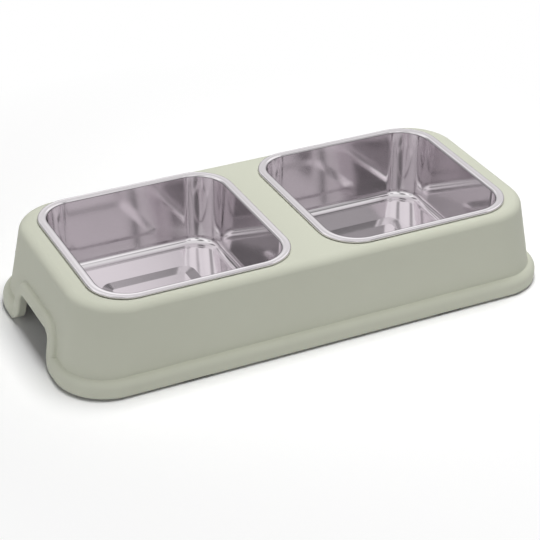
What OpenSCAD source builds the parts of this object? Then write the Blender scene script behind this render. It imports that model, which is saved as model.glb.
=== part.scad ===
// Double pet bowl: two square steel bowls hang by their flanges in a hollow plastic stand.
// The origin is on the table under the middle of the stand, +X runs along its length and +Z is up.

/* [Bowls] */
// Width of a square bowl over its lip
bowl_w = 155; // [120:1:180]
// Radius of a bowl's corners, over its lip
bowl_corner_r = 30; // [25:1:36]
// Depth of a bowl from its flange to its floor
bowl_depth = 59; // [40:1:62]
// Gap between the lips of the two bowls
bowl_gap = 29; // [20:1:60]
// Lean of a bowl's walls from upright, in degrees
bowl_lean = 2.8; // [1:0.1:6]
// Width of the flange from the lip to the inner wall
flange_w = 5.5; // [4.8:0.1:8]
// Height of the flange above the deck, which is the lip's
lip_h = 2.5; // [2:0.1:4]
// Radius of the rolled edge between flange and lip
lip_roll_r = 1.6; // [1.2:0.1:1.8]
// Radius under the flange where it turns down into the wall
throat_r = 1; // [0.6:0.1:1.4]
// Radius of the cove between wall and floor
cove_r = 6.5; // [4:0.5:10]
// Thickness of the steel
steel_t = 0.8; // [0.5:0.1:1]

/* [Stamped floor] */
// Width of the square panel stamped into a bowl's floor
panel_w = 70; // [50:1:80]
// Radius of the panel's corners
panel_corner_r = 9; // [7:0.5:14]
// How far the panel lies below the floor
panel_drop = 1.5; // [0.8:0.1:2.5]
// Width of the sloped edge round the panel
panel_slope_w = 4; // [2:0.5:6]

/* [Stand] */
// Height of the deck above the table
deck_z = 70; // [66:1:90]
// Flat deck beyond the bowls at each end
end_margin = 10; // [6:0.5:40]
// Flat deck beyond the bowls at the front and back
side_margin = 0.5; // [0.2:0.1:20]
// Radius of the flat deck's corners
deck_corner_r = 32; // [26:0.5:36]
// Radius of the shoulder where the deck turns down into the wall
shoulder_r = 7; // [4:0.5:10]
// How far an end wall leans in between the bead and the shoulder
end_draft = 7.5; // [2:0.5:12]
// How far the front and back walls lean in
side_draft = 2; // [0.5:0.5:8]
// Radius of the stand's corners round the foot, over the bead
base_corner_r = 40; // [30:1:46]
// Thickness of the moulding
wall_t = 2.6; // [2:0.1:3.4]
// Clearance between a bowl and the edge of its opening
bowl_clear = 0.7; // [0.4:0.1:1]
// Depth of the turned-down collar round each opening
collar_h = 5; // [2:0.5:12]

/* [Bead] */
// How far the bead stands out of the wall
bead_w = 6; // [5:0.5:9]
// Height of the bead
bead_h = 12; // [9:0.5:16]
// Radius of the bead's upper edge
bead_r = 5; // [4:0.1:6]
// Rounding of the bead's lower edge
bead_edge_r = 1; // [0.4:0.1:1.6]

/* [Hand arches] */
// Width of the arch's opening in each end
arch_w = 61; // [50:1:76]
// Height of the opening above the stand's lower edge
arch_h = 26.5; // [24:0.5:40]
// Radius of the opening's upper corners
arch_corner_r = 7; // [4:0.5:11]
// Radius that rounds off the foot of the leg on each side of the opening
arch_leg_r = 12; // [8:0.5:12]
// How far that rounding turns before it meets the stand's lower edge
arch_leg_turn = 82; // [70:1:84]
// Width of the raised band round the opening
band_w = 10; // [8:0.5:14]
// Radius of the band's outer edge
band_r = 4; // [3.5:0.1:5]

/* [Feet] */
// Length of a rubber foot
foot_l = 28; // [20:1:40]
// Width of a rubber foot
foot_w = 9; // [6:0.5:10]
// How far a foot stands below the moulding
foot_proud = 2; // [1:0.5:4]
// How far a foot is let into its boss
foot_sunk = 1.5; // [1:0.5:3]
// Distance of a foot from the bead's outer face
foot_inset = 1.5; // [1:0.1:3]
// Distance from the stand's end to the middle of a foot
foot_from_end = 95; // [80:1:130]
// Clearance round a foot in its pocket
foot_clear = 0.2; // [0.1:0.1:0.4]
// Wall of the boss round a foot's pocket
boss_wall = 2; // [1.5:0.5:4]
// Height of the boss
boss_h = 6; // [4.5:0.5:8]

/* [Hidden] */
$fn = 96;
blend_fn = 48;
arc_steps = 8;
cut = 1;

// Heights
edge_z = foot_proud;
bead_z = edge_z + bead_h;
rim_z = deck_z + lip_h;
floor_z = rim_z - bowl_depth;

// Plan sizes, built outwards from the bowls
bowl_x = (bowl_w + bowl_gap) / 2;
shoulder_half = [bowl_w + bowl_gap / 2 + end_margin + shoulder_r, bowl_w / 2 + side_margin + shoulder_r];
foot_half = shoulder_half + [end_draft, side_draft];
stand_l = 2 * (foot_half.x + bead_w);
stand_w = 2 * (foot_half.y + bead_w);

// Lean of the end wall, which runs from the bead up to touch the shoulder's arc
end_run = [end_draft + shoulder_r, deck_z - shoulder_r - bead_z];
end_lean = atan2(end_run.x, end_run.y) - asin(shoulder_r / norm(end_run));

// How far the band round an arch stands out of the end wall, and its depth to the inside of that wall
band_proud = bead_w * cos(end_lean) - bead_h * sin(end_lean);
band_d = band_proud + wall_t;

function arc(centre, r, from, to) =
  [for (i = [0:arc_steps]) centre + r * [cos(from + (to - from) * i / arc_steps), sin(from + (to - from) * i / arc_steps)]];

// Carries a section round a rectangle with rounded corners. The section's x is the distance from the corner's axis.
module carried_round(w, d, r) {
  for (q = [0:3]) {
    out = q % 2 == 0 ? w / 2 - r : d / 2 - r;
    run = q % 2 == 0 ? d - 2 * r : w - 2 * r;
    rotate(90 * q) {
      translate([out, run / 2, 0]) rotate([90, 0, 0]) linear_extrude(run) children();
      translate([out, run / 2, 0]) rotate_extrude(angle = 90) children();
    }
  }
}

// The flat middle that such a section leaves open
module middle(w, d, r, from, to) {
  translate([r - w / 2, r - d / 2, from]) cube([w - 2 * r, d - 2 * r, to - from]);
}

module rounded_block(w, d, r, from, to) {
  carried_round(w, d, r) translate([0, from]) square([r, to - from]);
  middle(w, d, r, from, to);
}

module both_ends() {
  children();
  mirror([1, 0, 0]) children();
}

// The leaning walls, the shoulder and the deck as one block, drawn in all round by inset
module leaning_block(inset, from) {
  foot_r = base_corner_r - bead_w;
  top_r = deck_corner_r + shoulder_r;
  hull() for (sx = [-1, 1], sy = [-1, 1]) {
    translate([sx * (shoulder_half.x - top_r), sy * (shoulder_half.y - top_r), deck_z - shoulder_r])
      rotate_extrude($fn = blend_fn) translate([deck_corner_r, 0]) circle(shoulder_r - inset);
    translate([sx * (foot_half.x - foot_r), sy * (foot_half.y - foot_r), from])
      cylinder(r = foot_r - inset, h = bead_z - from, $fn = blend_fn);
  }
}

// Section of the bead, hollow from below; its inner edge lies in the middle of the wall
module bead_section() {
  bead_c = [base_corner_r - bead_r, bead_z - bead_r];
  edge_c = [base_corner_r - bead_edge_r, edge_z + bead_edge_r];
  in_wall = base_corner_r - bead_w - wall_t / 2;
  polygon(concat(
    [[in_wall, bead_z]],
    arc(bead_c, bead_r, 90, 0),
    arc(edge_c, bead_edge_r, 0, -90),
    [[base_corner_r - wall_t, edge_z]],
    arc(bead_c, bead_r - wall_t, 0, 90),
    [[in_wall, bead_z - wall_t]]));
}

// Section of the band round an arch: x runs away from the opening, y goes into the stand
module band_section() {
  round_c = [band_w - band_r, band_r];
  polygon(concat(
    [[0, 0]],
    arc(round_c, band_r, -90, 0),
    [[band_w, band_d], [band_w - wall_t, band_d]],
    arc(round_c, band_r - wall_t, 0, -90),
    [[0, wall_t]]));
}

// Lays a flat drawing on the leaning face of the left end, with its height along the face and its depth going inwards
module on_end_face() {
  translate([-stand_l / 2, 0, edge_z]) rotate([0, end_lean, 0]) rotate([90, 0, 90]) children();
}

// The band carried up one leg of an arch, round its corner and along its top
module arch_band() {
  leg_h = arch_h - arch_corner_r;
  top_l = arch_w - 2 * arch_corner_r;
  both_ends() {
    translate([arch_w / 2, leg_h, 0]) rotate([90, 0, 0]) linear_extrude(leg_h) band_section();
    translate([top_l / 2, leg_h, 0]) rotate_extrude(angle = 90) translate([arch_corner_r, 0]) band_section();
  }
  translate([-top_l / 2, arch_h, 0]) rotate([90, 0, 90]) linear_extrude(top_l) band_section();
}

// What an arch takes out of the end wall and the bead, up to the middle of its band's outer wall
module arch_cut() {
  x = arch_w / 2 - arch_corner_r;
  y = arch_h - arch_corner_r;
  r = arch_corner_r + band_w - wall_t / 2;
  translate([0, 0, -bead_w]) linear_extrude(bead_w + band_d + cut) polygon(concat(
    [[x + r, -2 * cut]],
    arc([x, y], r, 0, 90),
    arc([-x, y], r, 90, 180),
    [[-x - r, -2 * cut]]));
}

// Rounds off the foot of each leg, where the band runs out into the bead
module arch_leg_cut() {
  x = arch_w / 2;
  r = arch_leg_r;
  rounding = arc([x + r, r], r, 180, 180 + arch_leg_turn);
  both_ends() translate([0, 0, -bead_w]) linear_extrude(bead_w + band_d + cut) polygon(concat(
    [[x - cut, -2 * cut], [x - cut, r]],
    rounding,
    [[rounding[arc_steps].x, -2 * cut]]));
}

// A long pad with round ends, lying along X
module pad(l, w, from, to) {
  run = l - w;
  translate([-run / 2, -w / 2, from]) cube([run, w, to - from]);
  both_ends() translate([run / 2, 0, 0]) rotate([0, 0, -90]) rotate_extrude(angle = 180)
    translate([0, from]) square([w / 2, to - from]);
}

// Puts a piece where a foot is: side_x and side_y are -1 or 1
module at_foot(side_x, side_y) {
  translate([side_x * (stand_l / 2 - foot_from_end), side_y * (stand_w / 2 - foot_inset - foot_w / 2), 0]) children();
}

// A boss reaches from inside the bead's outer face to a wall's width behind the foot
module foot_boss() {
  l = foot_l + 2 * boss_wall;
  w = boss_wall + foot_w + foot_inset - wall_t / 2;
  translate([-l / 2, -foot_w / 2 - boss_wall, edge_z]) cube([l, w, boss_h]);
}

module stand() {
  opening_w = bowl_w - 2 * (flange_w - steel_t - bowl_clear);
  opening_r = bowl_corner_r - (bowl_w - opening_w) / 2;
  collar_w = opening_w + 2 * wall_t;
  collar_z = deck_z - wall_t - collar_h;
  color("darkseagreen") difference() {
    union() {
      difference() {
        union() {
          difference() {
            leaning_block(0, bead_z - wall_t);
            leaning_block(wall_t, bead_z - wall_t - cut);
          }
          carried_round(stand_l, stand_w, base_corner_r) bead_section();
          both_ends() translate([bowl_x, 0, 0])
            rounded_block(collar_w, collar_w, opening_r + wall_t, collar_z, deck_z - wall_t / 2);
          for (side_x = [-1, 1]) {
            at_foot(side_x, -1) mirror([0, 1, 0]) foot_boss();
            at_foot(side_x, 1) foot_boss();
          }
        }
        both_ends() translate([bowl_x, 0, 0]) rounded_block(opening_w, opening_w, opening_r, collar_z - cut, deck_z + cut);
        both_ends() on_end_face() arch_cut();
        for (side_x = [-1, 1], side_y = [-1, 1])
          at_foot(side_x, side_y) pad(foot_l + 2 * foot_clear, foot_w + 2 * foot_clear, edge_z - cut, edge_z + foot_sunk);
      }
      both_ends() on_end_face() arch_band();
    }
    both_ends() on_end_face() arch_leg_cut();
  }
}

// Section of a bowl from the middle of its floor up the wall to the lip
module bowl_section() {
  throat_c = [bowl_corner_r - flange_w + throat_r + steel_t, rim_z - throat_r - steel_t];
  lip_c = [bowl_corner_r - lip_roll_r, rim_z - lip_roll_r];
  wall_top = throat_c + (throat_r + steel_t) * [-cos(bowl_lean), sin(bowl_lean)];
  cove_top_z = floor_z + cove_r * (1 - sin(bowl_lean));
  cove_x = wall_top.x - (wall_top.y - cove_top_z) * tan(bowl_lean) - cove_r * cos(bowl_lean);
  cove_c = [cove_x, floor_z + cove_r];
  polygon(concat(
    [[0, floor_z]],
    arc(cove_c, cove_r, -90, -bowl_lean),
    arc(throat_c, throat_r + steel_t, 180 - bowl_lean, 90),
    arc(lip_c, lip_roll_r, 90, 0),
    [[bowl_corner_r, deck_z], [bowl_corner_r - steel_t, deck_z]],
    arc(lip_c, lip_roll_r - steel_t, 0, 90),
    arc(throat_c, throat_r, 90, 180 - bowl_lean),
    arc(cove_c, cove_r + steel_t, -bowl_lean, -90),
    [[0, floor_z - steel_t]]));
}

module bowl() {
  panel_z = floor_z - panel_drop;
  color("silver") difference() {
    union() {
      carried_round(bowl_w, bowl_w, bowl_corner_r) bowl_section();
      middle(bowl_w, bowl_w, bowl_corner_r, floor_z - steel_t, floor_z);
      carried_round(panel_w, panel_w, panel_corner_r) polygon([
        [0, panel_z - steel_t], [panel_corner_r - panel_slope_w + steel_t, panel_z - steel_t],
        [panel_corner_r + steel_t, floor_z - steel_t], [0, floor_z - steel_t]]);
      middle(panel_w, panel_w, panel_corner_r, panel_z - steel_t, floor_z - steel_t);
    }
    carried_round(panel_w, panel_w, panel_corner_r) polygon([
      [0, panel_z], [panel_corner_r - panel_slope_w, panel_z],
      [panel_corner_r, floor_z], [panel_corner_r, floor_z + cut], [0, floor_z + cut]]);
    middle(panel_w, panel_w, panel_corner_r, panel_z, floor_z + cut);
  }
}

module foot() {
  color("black") pad(foot_l, foot_w, 0, edge_z + foot_sunk);
}

module bowl_left() {
  translate([-bowl_x, 0, 0]) bowl();
}

module bowl_right() {
  translate([bowl_x, 0, 0]) bowl();
}

module foot_front_left() {
  at_foot(-1, -1) foot();
}

module foot_front_right() {
  at_foot(1, -1) foot();
}

module foot_back_left() {
  at_foot(-1, 1) foot();
}

module foot_back_right() {
  at_foot(1, 1) foot();
}

stand();
bowl_left();
bowl_right();
foot_front_left();
foot_front_right();
foot_back_left();
foot_back_right();
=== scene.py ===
import math
import bpy
import bmesh
from mathutils import Matrix, Vector


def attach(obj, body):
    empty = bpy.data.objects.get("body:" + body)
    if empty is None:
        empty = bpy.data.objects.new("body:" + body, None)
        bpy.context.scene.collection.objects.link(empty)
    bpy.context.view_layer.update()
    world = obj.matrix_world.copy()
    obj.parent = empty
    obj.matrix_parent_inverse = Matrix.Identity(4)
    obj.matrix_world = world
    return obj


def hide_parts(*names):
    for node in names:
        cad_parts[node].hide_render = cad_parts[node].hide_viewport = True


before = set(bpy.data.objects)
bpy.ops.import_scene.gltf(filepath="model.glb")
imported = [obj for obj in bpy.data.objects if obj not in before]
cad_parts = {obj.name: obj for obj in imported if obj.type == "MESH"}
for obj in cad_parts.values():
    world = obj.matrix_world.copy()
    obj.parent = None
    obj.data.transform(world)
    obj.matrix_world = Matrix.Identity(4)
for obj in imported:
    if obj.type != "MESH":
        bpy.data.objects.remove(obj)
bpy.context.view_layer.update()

# The stand is one injection moulding in pale sage plastic, open below: a flat deck, a soft shoulder, leaning
# walls and a rolled bead round the foot. The bead's roll is carried round a hand arch in each end, and every
# edge is softened.
mm = 0.001
weld = 1e-6
edge_z = 2 * mm
deck_z = 70 * mm
skin = 2.6 * mm
base_half = Vector((200, 93)) * mm
base_corner = 40 * mm
wall_half = Vector((194, 87)) * mm
shoulder_half = Vector((179.5, 78)) * mm
deck_corner = 32 * mm
shoulder_r = 7 * mm
end_lean = math.radians(8.61)
side_lean = math.radians(2.36)
lean_start = 12 * mm
bead_face = 7 * mm
bead_top = 12.1 * mm
bead_blend = 0.9 * mm
arch_half = 30.5 * mm
arch_top = 26.3 * mm
arch_corner = 7 * mm
leg_r = 12 * mm
leg_edge = 0.4 * mm
leg_splay = 2 * mm
splay_top = 20 * mm
splay_fade = 12 * mm
splay_foot = 6 * mm
splay_rise, splay_fall = 0.66, 0.34
band = 10.1 * mm
band_proud = 4.26 * mm
band_flat = 6 * mm
band_join = 1.6 * mm
arch_edge_r = 2 * mm
bead_stop = 4 * mm
bead_return = 5.5 * mm
reveal = 5 * mm
end_from = 0.18
corner_from = 0.04
opening_half = 73.5 * mm
opening_corner = 26 * mm
collar = 7.6 * mm
bowl_x = 92 * mm


class Finish:
    """A socket among a material's nodes. Arithmetic on it adds Math nodes, and node() adds any other kind."""

    def __init__(self, tree, socket=None):
        self.tree, self.socket = tree, socket

    def node(self, kind, settings=None, inputs=None, output=0):
        made = self.tree.nodes.new("ShaderNode" + kind)
        for name, value in (settings or {}).items():
            if name == "stops":
                ramp = made.color_ramp.elements
                ramp[0].position, ramp[1].position = value[0][0], value[-1][0]
                for place, _ in value[1:-1]:
                    ramp.new(place)
                for stop, (_, level) in zip(ramp, value):
                    stop.color = (level, level, level, 1)
            else:
                setattr(made, name, value)
        for name, value in (inputs or {}).items():
            if isinstance(value, Finish):
                self.tree.links.new(value.socket, made.inputs[name])
            else:
                made.inputs[name].default_value = value
        return Finish(self.tree, made.outputs[output])

    def math(self, operation, first, *others):
        return self.node("Math", {"operation": operation}, dict(enumerate((first, *others))))

    def __add__(self, other):
        return self.math("ADD", self, other)

    def __sub__(self, other):
        return self.math("SUBTRACT", self, other)

    def __rsub__(self, other):
        return self.math("SUBTRACT", other, self)

    def __mul__(self, other):
        return self.math("MULTIPLY", self, other)

    def __truediv__(self, other):
        return self.math("DIVIDE", self, other)

    __radd__ = __add__

    def clamp(self):
        return self.node("Clamp", None, {0: self})

    def blend(self, first, second):
        """A colour that goes from the first to the second as this value goes from 0 to 1."""
        return self.node("Mix", {"data_type": "RGBA"}, {0: self, 6: first, 7: second}, 2)


def new_finish(name):
    """An empty material: itself, its nodes, where on the object they look, and its surface shader."""
    material = bpy.data.materials.new(name)
    material.use_nodes = True
    tree = material.node_tree
    tree.nodes.clear()
    finish = Finish(tree)
    place = finish.node("TexCoord", output=3)
    shader = tree.nodes.new("ShaderNodeBsdfPrincipled")
    result = tree.nodes.new("ShaderNodeOutputMaterial")
    tree.links.new(shader.outputs[0], result.inputs[0])
    return material, finish, place, shader


def put(shader, **values):
    """Sets or links the shader's sockets."""
    for name, value in values.items():
        socket = shader.inputs[name.replace("_", " ").title().replace("Ior", "IOR")]
        if isinstance(value, Finish):
            value.tree.links.new(value.socket, socket)
        else:
            socket.default_value = value


def rgb(red, green, blue):
    """A colour as a shader's socket takes it."""
    return (red, green, blue, 1)


def outline(bm, half_x, half_y, radius, z, centre=(0, 0), steps=16):
    """A closed run of edges round a rectangle with round corners."""
    corners = bmesh.ops.create_grid(bm, x_segments=1, y_segments=1, size=1)["verts"]
    bmesh.ops.scale(bm, vec=(half_x, half_y, 1), verts=corners)
    bmesh.ops.translate(bm, vec=(centre[0], centre[1], z), verts=corners)
    rounded = bmesh.ops.bevel(bm, geom=corners, offset=radius, offset_type="OFFSET", segments=steps,
                              profile=0.5, affect="VERTICES", material=-1)["verts"]
    face = rounded[0].link_faces[0]
    edges = list(face.edges)
    bmesh.ops.delete(bm, geom=[face], context="FACES_ONLY")
    return edges


def loft(bm, rows, centre=(0, 0), steps=16):
    """A wall drawn from outline to outline, corner by corner. Returns its first and last edges."""
    first = ring = outline(bm, *rows[0], centre=centre, steps=steps)
    for (half_x, half_y, radius, z), (next_x, next_y, next_r, next_z) in zip(rows, rows[1:]):
        drawn = bmesh.ops.extrude_edge_only(bm, edges=ring)["geom"]
        ring = [e for e in drawn if isinstance(e, bmesh.types.BMEdge) and e.is_boundary]
        verts = {v for e in ring for v in e.verts}
        for side in (-1, 1):
            for end in (-1, 1):
                corner = [v for v in verts
                          if (v.co.x - centre[0]) * side > 0 and (v.co.y - centre[1]) * end > 0]
                old = Vector((centre[0] + side * (half_x - radius), centre[1] + end * (half_y - radius), z))
                new = Vector((centre[0] + side * (next_x - next_r), centre[1] + end * (next_y - next_r),
                              next_z))
                grow = next_r / radius
                bmesh.ops.transform(bm, verts=corner, matrix=Matrix.Translation(new)
                                    @ Matrix.Diagonal((grow, grow, 1, 1)) @ Matrix.Translation(-old))
    return first, ring


def finished(bm, name, body, smooth=True):
    """The mesh as an object of the scene, riding on its body."""
    mesh = bpy.data.meshes.new(name)
    bm.to_mesh(mesh)
    bm.free()
    if smooth:
        mesh.shade_smooth()
    piece = bpy.data.objects.new(name, mesh)
    bpy.context.scene.collection.objects.link(piece)
    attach(piece, body)
    return piece


def roll_height(distance, height, width, blend):
    """Height of a quarter-round edge at a distance outside the line where it starts to fall."""
    if distance <= 0:
        return height
    if distance < width - blend:
        return blend + (height - blend) * math.sqrt(1 - (distance / (width - blend)) ** 2)
    if distance < width:
        return blend - math.sqrt(blend ** 2 - (width - distance) ** 2)
    return 0.0


def end_wall(z):
    """Distance of an end wall's face from the middle at height z."""
    return wall_half.x - (z - edge_z - lean_start) * math.tan(end_lean)


def side_wall(z):
    """Distance of a side wall's face from the middle at height z."""
    return wall_half.y - (z - edge_z - lean_start) * math.tan(side_lean)


def bead_height(z, wall, half):
    """How far the bead stands out of a wall at height z."""
    start = edge_z + bead_face
    proud = half - wall(min(z, start))
    return roll_height(z - start, proud, bead_top + bead_blend - bead_face, bead_blend)


def arch_distance(y, z):
    """Distance outside the outline of the hand arch."""
    across = abs(y) - (arch_half - arch_corner)
    up = z - edge_z - (arch_top - arch_corner)
    if up < 0:
        return across - arch_corner
    if across < 0:
        return up - arch_corner
    return math.hypot(across, up) - arch_corner


def end_face(y, z):
    """Distance of the end's outer face from the middle: wall, bead and arch band in one soft form."""
    away = arch_distance(y, z)
    inner = min(away / arch_edge_r, 1)
    rounding = arch_edge_r * (1 - math.sqrt(max(0, 1 - (1 - inner) ** 2)))
    roll = roll_height(away - band_flat, band_proud, band + bead_blend - band_flat, bead_blend) - rounding
    fade = min(max((away - bead_stop) / bead_return, 0), 1)
    bead = bead_height(z, end_wall, base_half.x) * fade * fade * (3 - 2 * fade)
    low, high = sorted((roll, bead))
    soft = min(band_join, 2 * max(low, 0))
    if soft > 0 and high - low < soft:
        high += (soft - (high - low)) ** 2 / (4 * soft)
    return end_wall(z) + high


def leg_flare(height):
    """How far a leg's rounded foot leaves the arch at a height above the bottom."""
    return leg_r - math.sqrt(leg_r ** 2 - (leg_r - min(max(height, leg_edge), leg_r)) ** 2)


bm = bmesh.new()
heights = [0, leg_edge, 1.2 * mm, 2.2 * mm, 3.5 * mm, 5.2 * mm, bead_face]
heights += [bead_face + (bead_top - bead_face) * math.sin(math.radians(a))
            for a in (15, 30, 45, 60, 72, 82, 90)]
heights += [bead_top + bead_blend * (1 - math.cos(math.radians(a))) for a in (30, 60, 90)]
rows = []
for height in heights:
    z = edge_z + height
    half_x = end_wall(z) + bead_height(z, end_wall, base_half.x)
    half_y = side_wall(z) + bead_height(z, side_wall, base_half.y)
    rows.append((half_x, half_y, base_corner - (base_half.x - half_x), z))
for step in range(11):
    turn = end_lean + (math.pi / 2 - end_lean) * step / 10
    out, up = shoulder_r * math.cos(turn), shoulder_r * math.sin(turn)
    rows.append((shoulder_half.x + out, shoulder_half.y + out, deck_corner + out, deck_z - shoulder_r + up))
deck_edge = loft(bm, rows, steps=20)[1]
wall_top = rows[len(heights)][3]
mid_faces = [f for f in bm.faces
             if abs(f.calc_center_median().y) < weld and f.calc_center_median().z < wall_top]
bmesh.ops.delete(bm, context="FACES", geom=mid_faces)

rings = [16, 14.2, 13, 11.6, 11, 10.75, 10.45, 10.25, 10.1, 10.02, 9.8, 9.4, 8.8, 8, 7, 6, 5, 4, 2.9, 2, 1.3,
         0.7, 0.25, 0.04, 0]
patch_bottom = -22 * mm
for side in (-1, 1):
    grow = rings[0] * mm
    half, top, bottom = arch_half + grow, arch_top + grow, patch_bottom
    face = bmesh.ops.create_grid(bm, x_segments=1, y_segments=1, size=1)["verts"]
    bmesh.ops.scale(bm, vec=(half, (top - bottom) / 2, 1), verts=face)
    bmesh.ops.translate(bm, vec=(0, edge_z + (top + bottom) / 2, 0), verts=face)
    upper = [v for v in face if v.co.y > 0]
    made = bmesh.ops.bevel(bm, geom=upper, offset=arch_corner + grow, offset_type="OFFSET", segments=16,
                           profile=0.5, affect="VERTICES", material=-1)["verts"]
    middle = made[0].link_faces[0]
    upright = Matrix(((0, 0, 1), (1, 0, 0), (0, 1, 0))).to_4x4()
    bmesh.ops.transform(bm, matrix=upright, verts=list(middle.verts))
    for wide, narrow in zip(rings, rings[1:]):
        bmesh.ops.inset_region(bm, faces=[middle], thickness=(wide - narrow) * mm, use_boundary=True,
                               use_even_offset=True)
    bmesh.ops.delete(bm, geom=[middle], context="FACES")
    for height in heights:
        flat = [f for f in bm.faces if all(abs(v.co.x) < 1e-9 for v in f.verts)]
        geom = set(flat) | {e for f in flat for e in f.edges} | {v for f in flat for v in f.verts}
        bmesh.ops.bisect_plane(bm, geom=list(geom), dist=1e-7, plane_co=(0, 0, edge_z + height),
                               plane_no=(0, 0, 1), clear_inner=height == 0, clear_outer=False)
    flat = {v for f in bm.faces if all(abs(v.co.x) < 1e-9 for v in f.verts) for v in f.verts}
    rim = [e for e in {e for v in flat for e in v.link_edges} if e.is_boundary]
    outer = [e for e in rim if all(arch_distance(v.co.y, v.co.z) > grow - 1e-5 for v in e.verts)]
    inner = [e for e in rim if all(arch_distance(v.co.y, v.co.z) < 1e-5 for v in e.verts)]
    for v in flat:
        away, height = arch_distance(v.co.y, v.co.z) / grow, v.co.z - edge_z
        splay = leg_splay * min(max((splay_top - height) / splay_fade, 0), 1, height / splay_foot)
        swell = math.sin(math.pi / 2 * min(away / splay_rise, (1 - away) / splay_fall, 1))
        foot = leg_flare(height) * (1 - away) + splay * swell
        v.co.x = side * end_face(v.co.y, v.co.z)
        v.co.y += math.copysign(foot, v.co.y) if height < splay_top else 0
    blend_top = edge_z + heights[-1] + weld
    for front in (-1, 1):
        near = [e for e in outer if all(v.co.y * front > 0 and v.co.z < blend_top for v in e.verts)]
        far = [e for e in bm.edges if e.is_boundary and e not in rim
               and all(v.co.x * side > end_from and v.co.y * front > corner_from for v in e.verts)
               and all(edge_z - weld < v.co.z < blend_top for v in e.verts)
               and abs(e.verts[0].co.z - e.verts[1].co.z) > weld]
        bmesh.ops.bridge_loops(bm, edges=near + far)
    hole = [e for e in bm.edges if e.is_boundary and e not in inner
            and all(v.co.x * side > end_from and v.co.z > blend_top - 1e-5 for v in e.verts)]
    bmesh.ops.triangle_fill(bm, edges=hole, use_beauty=True, use_dissolve=False)
    back = bmesh.ops.extrude_edge_only(bm, edges=inner)["geom"]
    drawn = [v for v in back if isinstance(v, bmesh.types.BMVert)]
    bmesh.ops.translate(bm, vec=(-side * reveal, 0, 0), verts=drawn)

openings = []
for side in (-1, 1):
    openings += outline(bm, opening_half, opening_half, opening_corner, deck_z,
                        centre=(side * bowl_x, 0))
bmesh.ops.triangle_fill(bm, edges=deck_edge + openings, use_beauty=True, use_dissolve=False)
lower = bmesh.ops.extrude_edge_only(bm, edges=openings)["geom"]
drawn = [v for v in lower if isinstance(v, bmesh.types.BMVert)]
bmesh.ops.translate(bm, vec=(0, 0, -collar), verts=drawn)
bmesh.ops.remove_doubles(bm, verts=bm.verts, dist=weld)
bmesh.ops.recalc_face_normals(bm, faces=bm.faces)
if max(bm.faces, key=lambda f: f.calc_area() if f.normal.z ** 2 > 0.9 else 0).normal.z < 0:
    bmesh.ops.reverse_faces(bm, faces=bm.faces)
stand = finished(bm, "stand_moulding", "stand")
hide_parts("stand")
wall = stand.modifiers.new("wall", "SOLIDIFY")
wall.thickness = skin
wall.offset = -1
wall.use_even_offset = True
soft = stand.modifiers.new("edges", "BEVEL")
soft.width = 0.7 * mm
soft.segments = 3
soft.limit_method = "ANGLE"
soft.angle_limit = math.radians(60)
shade = stand.modifiers.new("shading", "WEIGHTED_NORMAL")
shade.keep_sharp = True

sage, finish, place, shader = new_finish("sage_plastic")
grain = finish.node("TexNoise", None, {"Vector": place, "Scale": 2600, "Detail": 3, "Roughness": 0.6})
cloud = finish.node("TexNoise", None, {"Vector": place, "Scale": 22, "Detail": 2, "Roughness": 0.5})
tint = (cloud * 0.7 + grain * 0.3).blend(rgb(0.585, 0.598, 0.498), rgb(0.625, 0.638, 0.537))
put(shader, base_color=tint, roughness=0.47 + grain * 0.12 + cloud * 0.05, specular_ior_level=0.3,
    normal=finish.node("Bump", None, {"Strength": 0.25, "Distance": 0.00012, "Height": grain}))
stand.data.materials.append(sage)

# Two loose bowls, each drawn from one sheet of stainless steel: a flat flange with a rolled lip that rests on
# the deck, a leaning wall, a round cove, and a floor with a square panel pressed into it, polished and plain.
steel = 0.8 * mm
rim_z = 72.5 * mm
floor_z = 13.2 * mm
dish = 0.6 * mm
bowl_half = 77.5 * mm
bowl_corner = 30 * mm
lip_r = 1.25 * mm
lip_from = -75
side_flange = 1.7 * mm
dip = 0.06 * mm
throat_half = 72 * mm
throat_r = 1.8 * mm
bowl_lean = math.radians(2.8)
cove_r = 6.5 * mm
cove_foot = 1.5 * mm
foot_tilt = math.radians(11)
crease_w = 0.3 * mm
ring_w = 6 * mm
panel_half = 38.5 * mm
panel_slope = 8 * mm
panel_drop = 1.5 * mm
panel_bend = 1.6 * mm
panel_corner = 10 * mm


def arc(centre, radius, start, end, steps):
    """Points of an arc in a section, as distance from the middle and height."""
    turns = [math.radians(start + (end - start) * i / steps) for i in range(steps + 1)]
    return [(centre[0] + radius * math.cos(t), centre[1] + radius * math.sin(t)) for t in turns]


lean_deg = math.degrees(bowl_lean)
throat_c = (throat_half + throat_r, rim_z - throat_r)
wall_top_half, wall_top_z = arc(throat_c, throat_r, 90, 180 - lean_deg, 1)[-1]
ring_z = floor_z + dish
cove_z = ring_z + cove_r * math.cos(foot_tilt) + cove_foot * math.sin(foot_tilt)
cove_half = (wall_top_half - (wall_top_z - cove_z + cove_r * math.sin(bowl_lean)) * math.tan(bowl_lean)
             - cove_r * math.cos(bowl_lean))
section = arc((bowl_half - lip_r, rim_z - lip_r), lip_r, lip_from, 90, 14)
run = bowl_half - lip_r - throat_c[0]
section += [(bowl_half - lip_r - run * i / 8, rim_z - dip * (1 - math.cos(2 * math.pi * i / 8)) / 2)
            for i in range(1, 8)]
section += arc(throat_c, throat_r, 90, 180 - lean_deg, 8)
section += arc((cove_half, cove_z), cove_r, -lean_deg, math.degrees(foot_tilt) - 90, 14)
cove_end = Vector(section[-1])
section += [tuple(cove_end - Vector((math.cos(foot_tilt), math.sin(foot_tilt))) * cove_foot * share)
            for share in (0.15, 0.85, 1)]
crease = section[-1][0] - crease_w
section += [(crease, ring_z), (crease - ring_w, ring_z - dish * ring_w / (crease - panel_half))]
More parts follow.
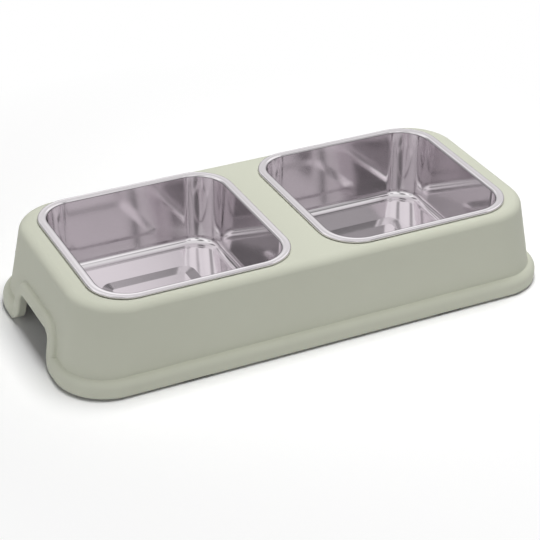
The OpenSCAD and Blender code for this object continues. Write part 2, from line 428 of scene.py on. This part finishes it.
outer_corner = [bowl_corner - (bowl_half - half) for half, _ in section]
slope = math.atan2(panel_drop, panel_slope)
bend = panel_bend * math.tan(slope / 2)
inner_half = panel_half - panel_slope
slope_deg = math.degrees(slope)
panel = arc((panel_half + bend, floor_z - panel_bend), panel_bend, 90, 90 + slope_deg, 5)
panel += arc((inner_half - bend, floor_z - panel_drop + panel_bend), panel_bend, -90 + slope_deg, -90, 5)
rows = [(half + side_flange * min(max((half - throat_c[0]) / run, 0), 1), half, radius, z)
        for (half, z), radius in zip(section, outer_corner)]
rows += [(half, half, panel_corner - (panel_half - half), z) for half, z in panel]

steel_grey, finish, place, shader = new_finish("drawn_steel")
drawn = finish.node("VectorMath", {"operation": "MULTIPLY"}, {0: place, 1: (1, 1, 0.06)}, 0)
lines = finish.node("TexNoise", None, {"Vector": drawn, "Scale": 1500, "Detail": 2, "Roughness": 0.6})
haze = finish.node("TexNoise", None, {"Vector": place, "Scale": 35, "Detail": 3, "Roughness": 0.55})
tint = (lines * 0.4 + haze * 0.6).blend(rgb(0.72, 0.69, 0.71), rgb(0.79, 0.755, 0.78))
put(shader, base_color=tint, metallic=1.0, roughness=0.07 + lines * 0.02 + haze * 0.04,
    normal=finish.node("Bump", None, {"Strength": 0.1, "Distance": 0.00002, "Height": lines}))

for side, name in ((-1, "bowl_left"), (1, "bowl_right")):
    bm = bmesh.new()
    last = loft(bm, rows, centre=(side * bowl_x, 0), steps=14)[1]
    bmesh.ops.edgeloop_fill(bm, edges=last)
    bmesh.ops.remove_doubles(bm, verts=bm.verts, dist=weld)
    bmesh.ops.recalc_face_normals(bm, faces=bm.faces)
    if max(bm.faces, key=lambda f: f.calc_area()).normal.z < 0:
        bmesh.ops.reverse_faces(bm, faces=bm.faces)
    bowl = finished(bm, name + "_pressing", name)
    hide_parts(name)
    sheet = bowl.modifiers.new("sheet", "SOLIDIFY")
    sheet.thickness = steel
    sheet.offset = -1
    sheet.use_even_offset = True
    shade = bowl.modifiers.new("shading", "WEIGHTED_NORMAL")
    shade.keep_sharp = True
    bowl.data.materials.append(steel_grey)

# Four soft rubber pads, each pushed into a pocket of a boss inside the bead. They stand proud of the stand's
# edge, so that it grips the floor. The photograph shows two of them as thin black strips.
foot_x, foot_y = 105 * mm, 87 * mm
foot_half = Vector((14, 4.5)) * mm
foot_edge_r = 0.6 * mm
foot_top = 3.5 * mm
round_gap = 0.01 * mm

rubber, finish, place, shader = new_finish("foot_rubber")
grain = finish.node("TexNoise", None, {"Vector": place, "Scale": 1800, "Detail": 3, "Roughness": 0.65})
dust = finish.node("TexNoise", None, {"Vector": place, "Scale": 90, "Detail": 3, "Roughness": 0.6})
tint = (grain * 0.4 + dust * 0.6).blend(rgb(0.008, 0.009, 0.007), rgb(0.02, 0.021, 0.018))
put(shader, base_color=tint, roughness=0.68 + grain * 0.15,
    normal=finish.node("Bump", None, {"Strength": 0.4, "Distance": 0.0001, "Height": grain}))
for side, end in ((-1, "left"), (1, "right")):
    for front, row in ((-1, "front"), (1, "back")):
        name = "foot_" + row + "_" + end
        bm = bmesh.new()
        rows = []
        for step in range(6):
            turn = math.pi / 2 * step / 5
            cut = foot_edge_r * (1 - math.sin(turn))
            half_x, half_y = foot_half.x - cut, foot_half.y - cut
            rows.append((half_x, half_y, half_y - round_gap, foot_edge_r * (1 - math.cos(turn))))
        rows.append((foot_half.x, foot_half.y, foot_half.y - round_gap, foot_top))
        first, last = loft(bm, rows, centre=(side * foot_x, front * foot_y), steps=12)
        bmesh.ops.edgeloop_fill(bm, edges=first)
        bmesh.ops.edgeloop_fill(bm, edges=last)
        bmesh.ops.remove_doubles(bm, verts=bm.verts, dist=weld)
        bmesh.ops.recalc_face_normals(bm, faces=bm.faces)
        foot = finished(bm, name + "_pad", "stand")
        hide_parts(name)
        shade = foot.modifiers.new("shading", "WEIGHTED_NORMAL")
        shade.keep_sharp = True
        foot.data.materials.append(rubber)

# Each pad's boss is part of the moulding: a low block inside the bead with a shallow pocket that the pad is
# pressed into. None shows in the photograph, so their form is the usual one for such a foot.
boss_half = Vector((16, 5)) * mm
boss_bottom, boss_top = 2.05 * mm, 8 * mm
boss_wide = 1.5 * mm
boss_corner = 1.5 * mm
pocket_gap = 0.2 * mm
pocket_top = 3.6 * mm
boss_rows = [(boss_half.x, boss_half.y, boss_corner, z) for z in (boss_top, boss_bottom)]
boss_rows += [(foot_half.x + pocket_gap, foot_half.y + pocket_gap, foot_half.y + pocket_gap - round_gap, z)
              for z in (boss_bottom, pocket_top)]
bm = bmesh.new()
for side in (-1, 1):
    for front in (-1, 1):
        known = set(bm.verts)
        first, last = loft(bm, boss_rows, centre=(side * foot_x, front * foot_y), steps=12)
        bmesh.ops.edgeloop_fill(bm, edges=first)
        bmesh.ops.edgeloop_fill(bm, edges=last)
        inside = [v for v in bm.verts if v not in known and abs(v.co.y) < foot_y
                  and abs(v.co.x - side * foot_x) > foot_half.x + 2 * pocket_gap]
        bmesh.ops.translate(bm, vec=(0, -front * boss_wide, 0), verts=inside)
bmesh.ops.remove_doubles(bm, verts=bm.verts, dist=weld)
bmesh.ops.recalc_face_normals(bm, faces=bm.faces)
bosses = finished(bm, "foot_bosses", "stand", smooth=False)
bosses.data.materials.append(sage)

# The set: a white floor that fades into a white backdrop, the photograph's camera, a soft lamp overhead and a
# room. Polished steel shows dark places beside bright ones, so the room it reflects has them, each given by
# its turn, rise and width in degrees and its depth, where a depth below zero is a bright place.
white_floor, finish, place, shader = new_finish("white_floor")
finish.tree.nodes.remove(shader)
fade_from, fade_run = 0.24, 0.2
seen = finish.node("LightPath", output=0)
shown = seen.blend(rgb(0.85, 0.85, 0.85), rgb(1.06, 1.06, 1.06))
diffuse = finish.node("BsdfDiffuse", None, {"Color": shown})
away = finish.node("VectorMath", {"operation": "LENGTH"}, {0: place}, 1)
fade = ((away - fade_from) / fade_run).clamp() * seen
paper = finish.node("MixShader", None, {0: fade, 1: diffuse, 2: finish.node("Emission")})
from_below = finish.node("NewGeometry", output=6)
surface = finish.node("MixShader", None, {0: from_below, 1: paper, 2: finish.node("BsdfTransparent")})
finish.tree.links.new(surface.socket, finish.tree.nodes["Material Output"].inputs["Surface"])
bm = bmesh.new()
floor_half = 4
bmesh.ops.create_grid(bm, x_segments=1, y_segments=1, size=floor_half)
mesh = bpy.data.meshes.new("floor")
bm.to_mesh(mesh)
bm.free()
floor = bpy.data.objects.new("floor", mesh)
bpy.context.scene.collection.objects.link(floor)
floor.data.materials.append(white_floor)

azimuth, elevation, roll = math.radians(-26.667), math.radians(31.35), math.radians(0.79)
distance = 1.3495
back = Vector((math.sin(azimuth) * math.cos(elevation), -math.cos(azimuth) * math.cos(elevation),
               math.sin(elevation)))
right = Vector((math.cos(azimuth), math.sin(azimuth), 0))
up = back.cross(right)
right, up = right * math.cos(roll) + up * math.sin(roll), up * math.cos(roll) - right * math.sin(roll)
lens = bpy.data.cameras.new("camera")
lens.sensor_width = 36
lens.lens = 115
lens.shift_x = -0.00538
lens.shift_y = 0.02604
lens.clip_start = 0.05
camera = bpy.data.objects.new("camera", lens)
viewpoint = Matrix((right, up, back)).transposed().to_4x4()
viewpoint.translation = Vector((0, 0, edge_z)) + back * distance
camera.matrix_world = viewpoint
bpy.context.scene.collection.objects.link(camera)
bpy.context.scene.camera = camera

world = bpy.data.worlds.new("room")
world.use_nodes = True
tree = world.node_tree
tree.nodes.clear()
room = Finish(tree)
direction = room.node("TexCoord", output=0)
x, y, z = (room.node("SeparateXYZ", None, {"Vector": direction}, i) for i in range(3))
camera_ray = room.node("LightPath", output=0)
glossy_ray = room.node("LightPath", output=3)
reflected = room.node("ValToRGB", {"stops": [(0.03, 0.1), (0.12, 0.5), (0.4, 0.95), (0.5, 1.1), (0.57, 1.6),
                                             (0.75, 1.45), (0.87, 1.15), (1.0, 1.1)]}, {"Fac": z})
places = ((-151, 30, 10, 0.8), (147, 34, 9, 0.6), (139, 49, 11, 0.75), (170, 46, 9, 0.65), (-91, 38, 8, 0.6),
          (-130, 52, 14, 0.75), (-31, 34, 14, 0.75), (-6, 37, 8, 0.8), (33, 50, 12, 0.5), (133, 61, 16, -1.2))
for turn, rise, width, depth in places:
    turn, rise, width = math.radians(turn), math.radians(rise), math.radians(width)
    level_x, level_y = math.sin(turn) * math.cos(rise), math.cos(turn) * math.cos(rise)
    toward = x * level_x + y * level_y + z * math.sin(rise)
    stops = [(math.cos(width), 0.0), (math.cos(width * 0.5), depth)]
    reflected = reflected * (1 - room.node("ValToRGB", {"stops": stops}, {"Fac": toward}))
backdrop, ambient, horizon, from_left, from_front = 1.25, 0.14, 1.43, 1.35, 0.4
low = room.node("ValToRGB", {"stops": [(0.0, 1.0), (0.4, 0.0)]}, {"Fac": z})
lit = ambient + low * (horizon - x * from_left - y * from_front)
level = camera_ray * backdrop + (1 - camera_ray) * (glossy_ray * reflected + (1 - glossy_ray) * lit)
background = tree.nodes.new("ShaderNodeBackground")
tree.links.new(level.socket, background.inputs["Strength"])
result = tree.nodes.new("ShaderNodeOutputWorld")
tree.links.new(background.outputs[0], result.inputs[0])
bpy.context.scene.world = world
lamp = bpy.data.lights.new("top", "AREA")
lamp.size = 0.7
lamp.energy = 15.7
top = bpy.data.objects.new("top", lamp)
top.matrix_world = Matrix.Translation((0.2, 0.03, 1.3))
top.visible_glossy = False
bpy.context.scene.collection.objects.link(top)

scene = bpy.context.scene
scene.view_settings.view_transform = "Standard"
